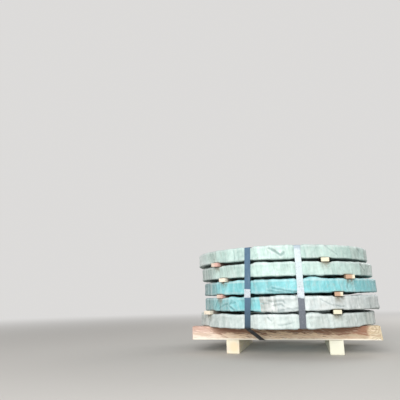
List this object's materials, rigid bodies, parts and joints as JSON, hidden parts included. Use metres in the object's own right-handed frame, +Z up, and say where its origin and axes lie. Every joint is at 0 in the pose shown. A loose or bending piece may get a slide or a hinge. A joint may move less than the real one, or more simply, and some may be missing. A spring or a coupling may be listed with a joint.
{
  "type": "strapped pallet of steel strip coils",
  "caption": "Stack of narrow steel strip coils in woven wrap, parted by wooden laths and strapped to a low timber pallet.",
  "frame": {"origin": "on the floor, under the middle of the pack's bounding box", "axes": "+Z up along the coils' axes, -Y to the front, where the two front straps and the front timber show, +X to the right"},
  "size_m": [1.0274, 0.993, 0.5409],
  "materials": {
    "strip_steel": "satin",
    "mint_wrap": "matte",
    "teal_wrap": "matte",
    "two_tone_wrap": "matte",
    "pale_wrap": "matte",
    "lath_wood": "matte",
    "timber": "matte",
    "runner_timber": "matte",
    "dark_strap": "satin",
    "bright_strap": "satin",
    "seal_steel": "satin"
  },
  "bodies": {
    "root": {"coil_1": "strip_steel", "coil_2": "strip_steel", "coil_3": "strip_steel", "coil_4": "strip_steel", "coil_5": "strip_steel", "cross_timber_back": "timber", "cross_timber_front": "timber", "runner_left": "runner_timber", "runner_right": "runner_timber", "seal_back_left": "seal_steel", "seal_back_right": "seal_steel", "seal_front_left": "seal_steel", "seal_front_right": "seal_steel", "spacers_1": "lath_wood", "spacers_2": "lath_wood", "spacers_3": "lath_wood", "spacers_4": "lath_wood", "strap_back_left": "dark_strap", "strap_back_right": "bright_strap", "strap_front_left": "dark_strap", "strap_front_right": "bright_strap", "wrap_1": "mint_wrap", "wrap_2": "mint_wrap", "wrap_3": "teal_wrap", "wrap_4": "two_tone_wrap", "wrap_5": "pale_wrap"}
  },
  "joints": []
}
